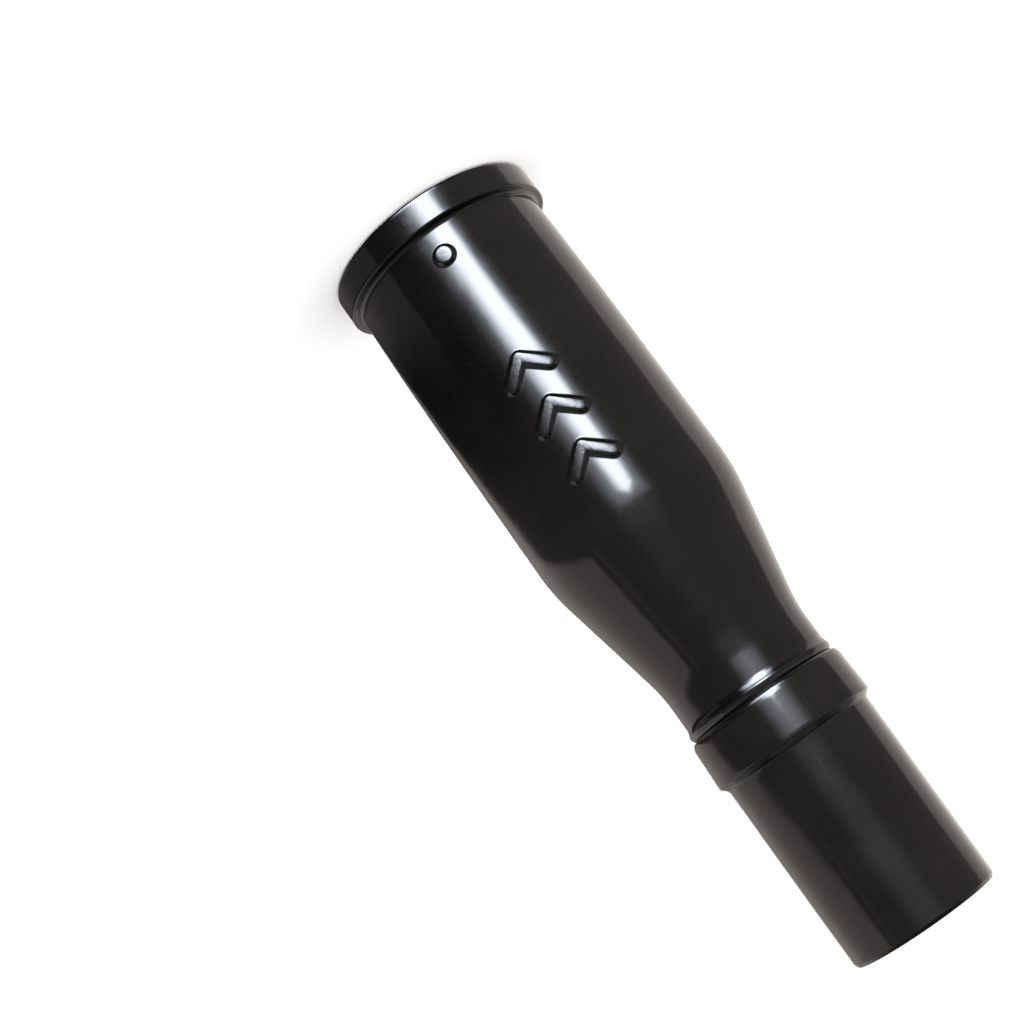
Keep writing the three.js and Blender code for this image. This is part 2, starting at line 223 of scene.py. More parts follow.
def finished(piece, material, node):
    piece.data.materials.clear()
    piece.data.materials.append(material)
    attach(piece, "root")
    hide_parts(node)
    print("made", piece.name, len(piece.data.polygons), "faces")


def addNode(tree, kind, inputs=None, **settings):
    node = tree.nodes.new(kind)
    for key, value in settings.items():
        setattr(node, key, value)
    for key, value in (inputs or {}).items():
        if isinstance(value, bpy.types.NodeSocket):
            tree.links.new(value, node.inputs[key])
        else:
            node.inputs[key].default_value = value
    return node


def remapped(tree, value, low, high, toLow=0.0, toHigh=1.0, smooth=False):
    kind = "SMOOTHSTEP" if smooth else "LINEAR"
    return addNode(tree, "ShaderNodeMapRange", {
        "Value": value, "From Min": low, "From Max": high, "To Min": toLow, "To Max": toHigh,
    }, interpolation_type=kind).outputs["Result"]


def computed(tree, operation, *values):
    return addNode(
        tree, "ShaderNodeMath", dict(enumerate(values)), operation=operation,
    ).outputs[0]


def blended(tree, factor, first, second):
    node = addNode(tree, "ShaderNodeMix", {0: factor, 6: first, 7: second}, data_type="RGBA")
    return node.outputs[2]


# A place in millimetres on the piece, stretched where the pattern runs one way
def placeOn(tree, stretch=(1, 1, 1)):
    coords = addNode(tree, "ShaderNodeTexCoord").outputs["Object"]
    scale = tuple(share / millimetre for share in stretch)
    return addNode(tree, "ShaderNodeMapping", {"Vector": coords, "Scale": scale}).outputs[0]


def cloudy(tree, place, size, detail=3.0, roughness=0.55, distortion=0.0):
    return addNode(tree, "ShaderNodeTexNoise", {
        "Vector": place, "Scale": 1 / size, "Detail": detail, "Roughness": roughness,
        "Distortion": distortion,
    }).outputs["Fac"]


# Round specks, one in each cell of the given size, from their edge inwards
def specks(tree, place, size, edge, middle):
    cells = addNode(tree, "ShaderNodeTexVoronoi", {
        "Vector": place, "Scale": 1 / size, "Randomness": 1.0,
    })
    return remapped(tree, cells.outputs["Distance"], edge, middle, smooth=True)


def bumped(tree, height, depth, before=None):
    inputs = {"Height": height, "Distance": depth * millimetre, "Strength": 1.0}
    if before:
        inputs["Normal"] = before
    return addNode(tree, "ShaderNodeBump", inputs).outputs[0]


def newMaterial(name, sockets):
    material = bpy.data.materials.new(name)
    material.use_nodes = True
    tree = material.node_tree
    shader = tree.nodes["Principled BSDF"]
    for key, value in sockets.items():
        shader.inputs[key].default_value = value
    return material, tree, shader


def newMetal(name):
    return newMaterial(name, {"Metallic": 1.0, "Specular IOR Level": 0.5})


def join(tree, shader, links):
    for key, socket in links.items():
        tree.links.new(socket, shader.inputs[key])


phenolicLook = {
    "dark": (0.0016, 0.0014, 0.0013, 1),
    "light": (0.0032, 0.0027, 0.0024, 1),
    "glossy": 0.08,
    "dull": 0.15,
    "specular": 0.5,
    "mottleSize": 9.0,  # millimetres, as all sizes here
    "smudgeSize": 3.2,
    "grainSize": 0.24,
    "grainDepth": 0.0014,
    "waveSize": 3.4,
    "waveDepth": 0.038,
    "waveStretch": (1, 1, 0.55),
    "rubSize": 0.9,
    "rubDepth": 0.0012,
    "rubStretch": (3.2, 3.2, 0.16),
    "rubDullness": 0.10,
    "dust": (0.05, 0.047, 0.043, 1),
    "dustShare": 0.35,
    "dustSpacing": 1.3,
    "dustDullness": 0.2,
    "faceSize": 0.45,
    "faceDepth": 0.018,
    "faceDullness": 0.10,
}


def glossyPhenolic(look):
    material, tree, shader = newMaterial("glossyPhenolic", {
        "IOR": 1.52, "Specular IOR Level": look["specular"],
    })
    place = placeOn(tree)
    mottle = cloudy(tree, place, look["mottleSize"], 4.0, 0.6, 0.4)
    smudge = cloudy(tree, place, look["smudgeSize"], 5.0, 0.62, 0.8)
    grain = cloudy(tree, place, look["grainSize"], 2.0, 0.5)
    wave = cloudy(tree, placeOn(tree, look["waveStretch"]), look["waveSize"], 2.2, 0.34)
    # the marks' faces are a little rougher than the polished mould around them
    raised = addNode(tree, "ShaderNodeAttribute", attribute_name="raised").outputs["Fac"]
    face = computed(tree, "MULTIPLY", cloudy(tree, place, look["faceSize"], 3.0, 0.6), raised)
    # fine rub marks along the cap, from being pushed on and pulled off
    rubs = cloudy(tree, placeOn(tree, look["rubStretch"]), look["rubSize"], 3.0, 0.7)
    rub = remapped(tree, rubs, 0.62, 0.74, smooth=True)
    dust = specks(tree, place, look["dustSpacing"], 0.05, 0.02)
    dusty = computed(tree, "MULTIPLY", dust, look["dustShare"])
    colour = blended(tree, remapped(tree, mottle, 0.35, 0.68), look["dark"], look["light"])
    colour = blended(tree, dusty, colour, look["dust"])
    roughness = remapped(tree, smudge, 0.36, 0.70, look["glossy"], look["dull"])
    for amount, key in ((rub, "rubDullness"), (dust, "dustDullness"), (raised, "faceDullness")):
        roughness = computed(tree, "MULTIPLY_ADD", amount, look[key], roughness)
    normal = bumped(tree, wave, look["waveDepth"])
    normal = bumped(tree, face, look["faceDepth"], normal)
    normal = bumped(tree, grain, look["grainDepth"], normal)
    normal = bumped(tree, rub, look["rubDepth"], normal)
    join(tree, shader, {"Base Color": colour, "Roughness": roughness, "Normal": normal})
    return material


bootRubberLook = {
    "dark": (0.0024, 0.0020, 0.0018, 1),
    "light": (0.0040, 0.0034, 0.0030, 1),
    "bloom": (0.0085, 0.0080, 0.0076, 1),
    "satin": 0.085,
    "dull": 0.135,
    "specular": 0.5,
    "mottleSize": 6.0,
    "grainSize": 0.18,
    "grainDepth": 0.0022,
    "pebbleSize": 0.9,
    "pebbleDepth": 0.0036,
    "waveSize": 4.5,
    "waveDepth": 0.026,
}


def satinRubber(name, look):
    material, tree, shader = newMaterial(name, {"IOR": 1.5, "Specular IOR Level": look["specular"]})
    place = placeOn(tree)
    mottle = cloudy(tree, place, look["mottleSize"], 5.0, 0.62, 0.6)
    grain = cloudy(tree, place, look["grainSize"], 2.0, 0.5)
    pebble = cloudy(tree, place, look["pebbleSize"], 2.0, 0.5, 0.3)
    wave = cloudy(tree, placeOn(tree, (1, 1, 0.5)), look["waveSize"], 1.0, 0.4)
    flow = cloudy(tree, placeOn(tree, (1.4, 1.4, 0.12)), 0.8, 3.0, 0.6)
    colour = blended(tree, remapped(tree, mottle, 0.34, 0.68), look["dark"], look["light"])
    # a thin pale bloom in patches, as rubber grows it with age
    bloom = remapped(tree, cloudy(tree, place, 2.2, 6.0, 0.7, 1.2), 0.60, 0.82, 0.0, 0.30)
    colour = blended(tree, bloom, colour, look["bloom"])
    roughness = remapped(tree, mottle, 0.34, 0.68, look["satin"], look["dull"])
    roughness = computed(tree, "ADD", roughness, remapped(tree, flow, 0.5, 0.75, 0.0, 0.07))
    normal = bumped(tree, wave, look["waveDepth"])
    normal = bumped(tree, pebble, look["pebbleDepth"], normal)
    normal = bumped(tree, grain, look["grainDepth"], normal)
    join(tree, shader, {"Base Color": colour, "Roughness": roughness, "Normal": normal})
    return material


sealRubberLook = {
    "dark": (0.0110, 0.0102, 0.0096, 1),
    "light": (0.0210, 0.0195, 0.0180, 1),
    "bloom": (0.060, 0.057, 0.053, 1),
    "satin": 0.50,
    "dull": 0.66,
    "specular": 0.45,
    "mottleSize": 4.0,
    "grainSize": 0.14,
    "grainDepth": 0.0060,
    "pebbleSize": 0.5,
    "pebbleDepth": 0.0060,
    "waveSize": 4.0,
    "waveDepth": 0.020,
}

brassLook = {
    "bright": (0.72, 0.50, 0.20, 1),
    "tarnish": (0.34, 0.21, 0.09, 1),
    "polished": 0.18,
    "worn": 0.40,
    "ringPitch": 0.11,
    "ringDepth": 0.0016,
}


def turnedBrass(look):
    material, tree, shader = newMetal("turnedBrass")
    place = placeOn(tree)
    tarnish = cloudy(tree, place, 1.8, 6.0, 0.68, 0.8)
    rings = cloudy(tree, placeOn(tree, (0.05, 0.05, 1)), look["ringPitch"], 2.0, 0.6)
    colour = blended(tree, remapped(tree, tarnish, 0.46, 0.72), look["bright"], look["tarnish"])
    roughness = remapped(tree, tarnish, 0.38, 0.70, look["polished"], look["worn"])
    normal = bumped(tree, rings, look["ringDepth"])
    join(tree, shader, {"Base Color": colour, "Roughness": roughness, "Normal": normal})
    return material


springSteelLook = {
    "bright": (0.60, 0.60, 0.61, 1),
    "oxide": (0.24, 0.23, 0.24, 1),
    "polished": 0.20,
    "worn": 0.38,
}


def drawnSteel(look):
    material, tree, shader = newMetal("drawnSteel")
    place = placeOn(tree)
    stain = cloudy(tree, place, 0.9, 5.0, 0.66, 0.6)
    lines = cloudy(tree, placeOn(tree, (1, 1, 6)), 0.25, 3.0, 0.6)
    colour = blended(tree, remapped(tree, stain, 0.48, 0.74), look["bright"], look["oxide"])
    roughness = remapped(tree, lines, 0.35, 0.70, look["polished"], look["worn"])
    normal = bumped(tree, lines, 0.0018)
    join(tree, shader, {"Base Color": colour, "Roughness": roughness, "Normal": normal})
    return material


fibreLook = {
    "dark": (0.19, 0.060, 0.034, 1),
    "light": (0.42, 0.17, 0.10, 1),
    "roughness": (0.62, 0.82),
}


def pressedFibre(look):
    material, tree, shader = newMaterial("pressedFibre", {"IOR": 1.5, "Specular IOR Level": 0.35})
    fibres = cloudy(tree, placeOn(tree, (1, 1, 5)), 0.30, 6.0, 0.72, 1.6)
    flecks = cloudy(tree, placeOn(tree, (3, 0.6, 3)), 0.5, 4.0, 0.7, 0.8)
    colour = blended(tree, remapped(tree, fibres, 0.34, 0.70), look["dark"], look["light"])
    colour = blended(tree, remapped(tree, flecks, 0.60, 0.78, 0.0, 0.6), colour, look["light"])
    roughness = remapped(tree, fibres, 0.34, 0.70, *look["roughness"])
    normal = bumped(tree, fibres, 0.012)
    join(tree, shader, {"Base Color": colour, "Roughness": roughness, "Normal": normal})
    return material


ceramicLook = {
    "light": (0.74, 0.69, 0.60, 1),
    "dark": (0.56, 0.50, 0.42, 1),
    "pore": (0.22, 0.17, 0.12, 1),
    "poreSpacing": 0.35,
    "roughness": (0.42, 0.60),
}


def unglazedCeramic(look):
    material, tree, shader = newMaterial("unglazedCeramic", {
        "IOR": 1.55, "Specular IOR Level": 0.4,
    })
    place = placeOn(tree)
    tone = cloudy(tree, place, 1.6, 5.0, 0.6)
    pores = specks(tree, place, look["poreSpacing"], 0.12, 0.05)
    colour = blended(tree, remapped(tree, tone, 0.36, 0.68), look["light"], look["dark"])
    colour = blended(tree, computed(tree, "MULTIPLY", pores, 0.6), colour, look["pore"])
    roughness = remapped(tree, tone, 0.36, 0.68, *look["roughness"])
    normal = bumped(tree, computed(tree, "SUBTRACT", tone, pores), 0.010)
    join(tree, shader, {"Base Color": colour, "Roughness": roughness, "Normal": normal})
    return material


platingLook = {
    "bright": (0.66, 0.66, 0.64, 1),
    "dull": (0.36, 0.35, 0.34, 1),
    "roughness": (0.16, 0.36),
}


def platedSteel(look):
    material, tree, shader = newMetal("platedSteel")
    place = placeOn(tree)
    stain = cloudy(tree, place, 1.1, 6.0, 0.68, 0.7)
    draw = cloudy(tree, placeOn(tree, (2.5, 2.5, 0.3)), 0.4, 3.0, 0.6)
    colour = blended(tree, remapped(tree, stain, 0.50, 0.76), look["bright"], look["dull"])
    roughness = remapped(tree, stain, 0.36, 0.72, *look["roughness"])
    normal = bumped(tree, draw, 0.0022)
    join(tree, shader, {"Base Color": colour, "Roughness": roughness, "Normal": normal})
    return material


phenolic = glossyPhenolic(phenolicLook)
bootRubber = satinRubber("bootRubber", bootRubberLook)
sealRubber = satinRubber("sealRubber", sealRubberLook)
brass = turnedBrass(brassLook)
springSteel = drawnSteel(springSteelLook)
fibre = pressedFibre(fibreLook)
ceramic = unglazedCeramic(ceramicLook)
plating = platedSteel(platingLook)
print("materials made")


# the camera stands where the photograph was taken from
view = {
    "place": (0.0, -171.125, 69.340),
    "lens": 60.3516,
    "sensor": 36,
    "nearest": 0.01,  # metres
    "farthest": 20,
    "yaw": -0.0571377,  # radians
    "pitch": 0.2301772,
    "roll": 2.5292203,
}


def makeCamera(spec):
    data = bpy.data.cameras.new("camera")
    data.lens = spec["lens"]
    data.sensor_width = spec["sensor"]
    data.clip_start, data.clip_end = spec["nearest"], spec["farthest"]
    camera = bpy.data.objects.new("camera", data)
    bpy.context.scene.collection.objects.link(camera)
    level = Matrix(((1, 0, 0), (0, 0, -1), (0, 1, 0)))  # right, down and forward, looking along +Y
    turn = Matrix.Rotation(spec["roll"], 3, "Z") @ Matrix.Rotation(spec["pitch"], 3, "X")
    right, down, forward = turn @ Matrix.Rotation(spec["yaw"], 3, "Y") @ level
    camera.matrix_world = Matrix((right, -down, -forward)).transposed().to_4x4()
    camera.location = Vector(spec["place"]) * millimetre
    bpy.context.scene.camera = camera


makeCamera(view)


capTop, capRadius = extent("cap_body")[1:]
sealBottom, sealTop, sealRadius = extent("plug_seal")
terminalBottom, terminalTop, terminalRadius = extent("plug_terminal")
washerBottom, washerTop, washerRadius = extent("terminal_washer")
insertBottom, insertTop, insertRadius = extent("cable_insert")
bootBottom, bootTop, bandRadius = extent("cable_boot")
screwBottom, screwTop = extent("cable_screw")[:2]

body = {
    "flangeLip": 0.75,
    "flangeThickness": 3.3,
    "flangeEdge": 0.50,
    "flangeTopEdge": 0.24,
    "flangeCrease": 0.50,
    "skirtDraft": 0.24,
    "skirtBowSteps": 400,
    "skirtWall": 2.05,
    "shoulderHeight": 38.5,
    "shoulderSoftness": 2.4,
    "neckRadius": 8.05,
    "taperTop": 53.5,
    "neckSoftness": 1.8,
    "rimFlare": 0.84,
    "rimFlareSoftness": 0.36,
    "rimEdge": 0.80,
    "rimEnd": (0.20, 0.02),
    "rimBulge": (0.07, 0.46),
    "rimLip": 0.23,
    "seamGap": 0.3,
    "seamDepth": 0.34,
    "seat": 59.19,
    "spigotRadius": 5.5,
    "spigotChamfer": 0.6,
    "spigotGroove": (65.6, 67.8, 0.5),  # bottom, top and depth
    "cableBore": 3.7,
    "chamberRadius": 3.3,
    "webHole": 4.1,
    "washerGap": 0.4,
    "insertGap": 0.1,
    "insertGroove": (59.25, 61.75, 0.4),
    "mouthChamfer": 0.6,
    "reliefBottom": 3.9,
    "reliefBelowTop": 14.2,
    "waveSize": 8.0,
    "waveDepth": 0.012,
    "waveShift": 3.7,
    "seamWidth": 0.16,
    "seamHeight": 0.035,
    "seamColumns": (0.55, 3.2, (-2.4, -1.4, -0.7, 0, 0.7, 1.4, 2.4)),
    "rearColumns": 136,
}

# Plain raised marks on the -Y side: chevrons towards the mouth and a mould dot
marks = {
    "height": 0.40,
    "foot": 0.14,
    "wall": 0.26,
    "crown": 0.72,
    "dome": 0.16,
    "chevronMiddles": (20.8, 26.2, 31.6),
    "chevronHalf": 2.2,
    "chevronRise": 2.0,
    "strokeHalf": 0.74,
    "dotHeight": 6.6,
    "dotRadius": 1.1,
    "between": 12.0,  # above the dot, below the chevrons
    "reachX": 3.3,
    "reachY": -8.0,
    "reachZ": (4.0, 35.0),
    "dullFrom": 0.05,
    "skirtRadius": 11.26,
    "halfAngle": 16.0,
    "step": 0.1,
    "rowsBelow": (4.1, 4.6, 5.0),
    "rows": ((5.2, 29, 0.1), (8.6, 11, 0.9), (18.4, 158, 0.1)),  # first height, count, spacing
    "rowsAbove": (34.6, 35.3),
}


# How far inside the nearest mark a place lies; negative outside them all
def depthInMark(x, z):
    if z < marks["between"]:
        return marks["dotRadius"] - math.hypot(x, z - marks["dotHeight"])
    half, rise = marks["chevronHalf"], marks["chevronRise"]
    nearest = math.inf
    for middle in marks["chevronMiddles"]:
        up = z - middle + rise / 2
        share = (abs(x) * half + up * rise) / (half ** 2 + rise ** 2)
        share = max(0.0, min(1.0, share))
        nearest = min(nearest, math.hypot(abs(x) - half * share, up - rise * share))
    return marks["strokeHalf"] - nearest


def markHeight(x, z):
    depth = depthInMark(x, z)
    wall = max(0.0, min(1.0, (depth + marks["foot"]) / (marks["wall"] + marks["foot"])))
    rise = max(0.0, min(1.0, depth / marks["crown"]))
    dome = marks["dome"]
    return marks["height"] * ((1 - dome) * wall * wall * (3 - 2 * wall) + dome * rise * (2 - rise))


# Notes how far each vertex is raised by a mark, for the dull face the marks were moulded with
def noteRaised(piece):
    raised = piece.data.attributes.new("raised", "FLOAT", "POINT")
    bottom, top = marks["reachZ"]
    for vertex, place in zip(piece.data.vertices, raised.data):
        x, y, z = vertex.co / millimetre
        if y < marks["reachY"] and abs(x) < marks["reachX"] and bottom < z < top:
            inside = (depthInMark(x, z) - marks["dullFrom"]) / marks["wall"]
            place.value = min(1.0, max(0.0, inside))


# The moulding's slight waviness and its parting line, on both sides
def mouldRelief(spec, x, y, height, sunk=0.0):
    size = spec["waveSize"]
    wave = noise.noise(Vector((x / size, y / size, height / size + spec["waveShift"])))
    seam = math.exp(-(y / spec["seamWidth"]) ** 2)
    return spec["waveDepth"] * (wave - sunk) + spec["seamHeight"] * (seam - sunk)


def capRelief(angle, radius, height):
    top = capTop - body["reliefBelowTop"]
    if radius <= body["neckRadius"] - 0.02 or not body["reliefBottom"] < height < top:
        return 0
    x, y = radius * math.cos(angle), radius * math.sin(angle)
    out = mouldRelief(body, x, y, height)
    if y < 0 and abs(x) < marks["reachX"] and height < marks["reachZ"][1]:
        out += markHeight(x, height)
    return out


# Gives each parting line a few close columns of its own, in place of the ones beside it
def withSeams(angles, seamColumns):
    step, clear, places = seamColumns  # degrees, steps, steps
    step = math.radians(step)
    turn = 2 * math.pi
    for side in (0.0, math.pi):
        angles = [a for a in angles if abs((a - side + math.pi) % turn - math.pi) > clear * step]
        angles += [(side + step * k) % turn for k in places]
    return angles


# Close columns across the marks, wider ones over the rest
def capColumns():
    half = math.radians(marks["halfAngle"])
    fine = int(2 * half * marks["skirtRadius"] / marks["step"])
    angles = [-math.pi / 2 - half + 2 * half * i / fine for i in range(fine + 1)]
    start, rest = -math.pi / 2 + half, 2 * math.pi - 2 * half
    coarse = body["rearColumns"]
    angles += [start + rest * i / coarse for i in range(1, coarse)]
    angles = withSeams(angles, body["seamColumns"])
    return sorted(set(round((a + math.pi) % (2 * math.pi) - math.pi, 6) for a in angles))


def capOutside():
    skirt = capRadius - body["flangeLip"]
    flangeTop = body["flangeThickness"]
    edge, crease = body["flangeEdge"], body["flangeCrease"]
    neck = body["neckRadius"]
    shoulder, soft = body["shoulderHeight"], body["shoulderSoftness"]
    taperTop, neckSoft = body["taperTop"], body["neckSoftness"]
    slope = (skirt - neck) / (taperTop - shoulder)
    neckEnd = bootBottom - body["seamGap"]
    rim, rimEdge = neck + body["rimLip"], body["rimEdge"]
    root = skirt - body["skirtDraft"]
    topEdge = body["flangeTopEdge"]
    lipStart, lipEnd = (capRadius, flangeTop - topEdge), (capRadius - topEdge, flangeTop)
    creaseStart, start = (root + crease, flangeTop), (root, flangeTop + crease)
    points = curved((capRadius - edge, 0), (capRadius, 0), (capRadius, edge), 9)
    points += spaced((capRadius, edge), lipStart, 0.2)[1:]
    points += curved(lipStart, (capRadius, flangeTop), lipEnd, 6)[1:]
    points.append(creaseStart)
    points += curved(creaseStart, (root, flangeTop), start, 5)[1:]
    # the skirt widens in a slight bow, and has its rows closest where the marks are
    middle = (start[1] + sealTop) / 2
    bow = curved(start, (skirt, middle), (skirt, sealTop), body["skirtBowSteps"])

    def skirtAt(height):
        for (r0, z0), (r1, z1) in zip(bow, bow[1:]):
            if z0 <= height <= z1:
                return r0 + (r1 - r0) * (height - z0) / (z1 - z0)
        return skirt

    heights = [start[1] + 0.08, *marks["rowsBelow"]]
    for first, count, spacing in marks["rows"]:
        heights += [first + spacing * i for i in range(count)]
    heights += marks["rowsAbove"]
    points += [(skirtAt(z), z) for z in heights]
    low = (skirt - slope * soft, shoulder + soft)
    high = (neck + slope * neckSoft, taperTop - neckSoft)
    points += curved((skirt, shoulder - soft), (skirt, shoulder), low, 14)
    points += spaced(low, high, 0.8)[1:]
    points += curved(high, (neck, taperTop), (neck, taperTop + neckSoft), 12)[1:]
    # the neck flares to a rim, which bulges and then closes on the boot
    flareEnd = (rim, neckEnd - rimEdge)
    flareStart = flareEnd[1] - body["rimFlare"]
    points += spaced((neck, taperTop + neckSoft), (neck, flareStart), 0.5)[1:]
    flareControl = (neck, flareStart + body["rimFlareSoftness"])
    points += curved((neck, flareStart), flareControl, flareEnd, 32)[1:]
    endIn, endDown = body["rimEnd"]
    bulgeOut, bulgeDown = body["rimBulge"]
    bulge, rimEnd = (rim + bulgeOut, neckEnd - bulgeDown), (rim - endIn, neckEnd - endDown)
    points += curved(flareEnd, bulge, rimEnd, 14)[1:]
    foot = rim - body["seamDepth"]
    points += [(foot, neckEnd + 0.02), (foot, body["seat"])]
    return points


def capInside():
    spigot, bore = body["spigotRadius"], body["cableBore"]
    grooveLow, grooveHigh, grooveDepth = body["spigotGroove"]
    gap = body["insertGap"]
    insertLow, insertHigh, insertDepth = body["insertGroove"]
    seat = insertRadius + gap
    mouth = capRadius - body["flangeLip"] - body["skirtWall"]
    terminalBore = washerRadius + body["washerGap"]
    chamfer, spigotChamfer = body["mouthChamfer"], body["spigotChamfer"]
    return [
        (spigot, body["seat"], 0.3),
        (spigot, grooveLow, 0.12),
        (spigot - grooveDepth, grooveLow + grooveDepth, 0.12),
        (spigot - grooveDepth, grooveHigh - grooveDepth, 0.12),
        (spigot, grooveHigh, 0.12),
        (spigot, capTop - spigotChamfer, 0.15),
        (spigot - spigotChamfer, capTop, 0.15),
        (bore, capTop, 0.1),
        (bore, insertTop, 0.04),
        (seat, insertTop, 0.04),
        (seat, insertHigh - gap, 0.04),
        (seat - insertDepth, insertHigh - insertDepth - gap, 0.04),
        (seat - insertDepth, insertLow + insertDepth + gap, 0.04),
        (seat, insertLow + gap, 0.04),
        (seat, insertBottom, 0.04),
        (body["chamberRadius"], insertBottom, 0.04),
        (body["chamberRadius"], terminalTop, 0.15),
        (body["webHole"], terminalTop, 0.1),
        (body["webHole"], washerTop, 0.1),
        (terminalBore, washerTop, 0.2),
        (terminalBore, sealTop, 0.2),
        (mouth, sealTop, 0.2),
        (mouth, chamfer, 0.15),
        (mouth + chamfer, 0, 0.15),
    ]


def makeCapBody():
    outside = capOutside()
    start, end = outside[-1], outside[0]
    corners = [(start[0], start[1], 0)] + capInside() + [(end[0], end[1], 0)]
    inside = rounded(corners, closed=False, steps=3, support=0.1)
    piece = turned("capBody", outside + inside[1:-1], capColumns(), True, capRelief, 50)
    noteRaised(piece)
    finished(piece, phenolic, "cap_body")


makeCapBody()


boot = {
    "bandFlare": 0.13,
    "bandLip": 0.53,
    "bandLength": 5.5,
    "bandStep": 0.8,
    "bandEdge": (0.28, 0.78),
    "tuck": 0.2,
    "sleeveDraft": 0.22,
    "endEdge": (0.16, 0.36),
    "bore": 3.6,
    "leadIn": 0.35,
    "pocket": 5.7,
    "pocketTop": 73.3,
    "bead": (65.9, 67.5, 0.5),  # bottom, top and height, in the spigot's groove
    "ribHeight": 0.2,
    "ribCount": 3,
    "columns": 144,
    "reliefFrom": 7.0,
    "reliefSunk": 0.4,
    "waveSize": 6.0,
    "waveDepth": 0.030,
    "waveShift": 9.1,
    "seamWidth": 0.20,
    "seamHeight": 0.05,
    "seamColumns": (0.7, 3.0, (-2.2, -1.3, -0.6, 0, 0.6, 1.3, 2.2)),
}


def bootRelief(angle, radius, height):
    if radius < boot["reliefFrom"]:
        return 0
    x, y = radius * math.cos(angle), radius * math.sin(angle)
    return mouldRelief(boot, x, y, height, boot["reliefSunk"])  # sunk, to stay inside the solid


def makeCableBoot():
    high = bandRadius
    low = high - boot["bandFlare"]
    sleeve = low - boot["bandLip"]
    end = sleeve - boot["sleeveDraft"]
    bandTop = bootBottom + boot["bandLength"]
    shoulder = bandTop - boot["bandStep"]
    bore, pocket = boot["bore"], boot["pocket"]
    beadLow, beadHigh, beadDepth = boot["bead"]
    bottom = bootBottom - boot["tuck"]  # pushed down against the neck
    edgeIn, edgeUp = boot["bandEdge"]
    endIn, endDown = boot["endEdge"]
    # the band with its two edges, the step down to the sleeve, and the boot's end
    outside = curved((low - edgeIn, bottom), (low - 0.04, bottom + 0.1), (low, bottom + edgeUp), 22)
    outside += spaced(outside[-1], (high, shoulder - 0.05), 0.3)[1:]
    outside += curved(outside[-1], (high, shoulder + 0.12), (high - 0.16, shoulder + 0.24), 6)[1:]
    outside += spaced(outside[-1], (sleeve + 0.10, bandTop - 0.16), 0.15)[1:]
    outside += curved(outside[-1], (sleeve, bandTop - 0.04), (sleeve, bandTop + 0.12), 5)[1:]
    outside += spaced(outside[-1], (end, bootTop - endDown - 0.06), 0.45)[1:]
    outside.append((end, bootTop - endDown))
    outside += curved(outside[-1], (end - 0.065, bootTop - 0.22), (end - endIn, bootTop), 10)[1:]
    leadIn = boot["leadIn"]
    corners = [
        (outside[-1][0], bootTop, 0),
        (bore + leadIn, bootTop, 0.12),
        (bore, bootTop - leadIn, 0.12),
    ]
    spacing = (bootTop - boot["pocketTop"]) / (boot["ribCount"] + 1)
    for i in range(1, boot["ribCount"] + 1):
        z = bootTop - spacing * i
        rib = boot["ribHeight"]
        corners += [(bore, z + 2 * rib, 0.12), (bore - rib, z, 0.12), (bore, z - 2 * rib, 0.12)]
    corners += [
        (bore, boot["pocketTop"], 0.15),
        (pocket, boot["pocketTop"], 0.15),
        (pocket, beadHigh, 0.12),
        (pocket - beadDepth, beadHigh - beadDepth, 0.12),
        (pocket - beadDepth, beadLow + beadDepth, 0.12),
        (pocket, beadLow, 0.12),
        (pocket, bottom, 0.12),
        (outside[0][0], bottom, 0),
    ]
    inside = rounded(corners, closed=False, steps=4, support=0.12)
    angles = sorted(withSeams(evenTurn(boot["columns"]), boot["seamColumns"]))
    piece = turned("cableBoot", outside + inside[1:-1], angles, True, bootRelief, 50)
    finished(piece, bootRubber, "cable_boot")


makeCableBoot()


seal = {
    "lip": 5.25,
    "lipHeight": 0.75,
    "lipCount": 3,
    "leadIn": 2.2,
    "columns": 96,
}


def makePlugSeal():
    lip, valley = seal["lip"], seal["lip"] + seal["lipHeight"]
    lipsBottom = sealBottom + seal["leadIn"]
    pitch = (sealTop - lipsBottom) / seal["lipCount"]
    corners = [
        ((lip + sealRadius) / 2, sealBottom, 0.5),
        (sealRadius, sealBottom, 0.35),
        (sealRadius, sealTop, 0.35),
        (valley, sealTop, 0.25),
    ]
    for i in reversed(range(seal["lipCount"])):
        z = lipsBottom + pitch * i
        corners += [(valley, z + pitch / 2, 0.5), (lip, z + pitch / 2 - 0.5, 0.8), (lip, z, 0.22)]
        if i > 0:
            corners.append((valley, z, 0.3))
    corners[-1] = (lip, lipsBottom, 0.7)
    profile = rounded(corners, steps=6, support=0.1)
    piece = turned("plugSeal", profile, evenTurn(seal["columns"]), crease=50)
    finished(piece, sealRubber, "plug_seal")


makePlugSeal()


terminal = {
    "socketRadius": 3.3,
    "wall": 1.3,
    "socketEnd": 32.5,
    "seat": 34.4,
    "flangeThickness": 1.4,
    "chamfer": 0.4,
    "shankRadius": 3.9,
    "threadPitch": 0.8,
    "threadDepth": 0.34,
    "threadEnds": (0.7, 0.5),
    "threadFade": 0.4,
    "grooveMiddle": 26.2,
    "grooveHalf": 0.6,
    "grooveFloor": 0.6,
    "cutStart": 2.5,
    "columns": 96,
}


def shankThread(angle, radius, height):
    spec = terminal
    lowEnd, highEnd = spec["threadEnds"]
    low, high = spec["seat"] + lowEnd, terminalTop - highEnd
    if abs(radius - spec["shankRadius"]) > 0.05 or not low < height < high:
        return 0
    phase = (height / spec["threadPitch"] - angle / (2 * math.pi)) % 1
    fade = min(1, (height - low) / spec["threadFade"], (high - height) / spec["threadFade"])
    return -spec["threadDepth"] * fade * (1 - abs(2 * phase - 1))


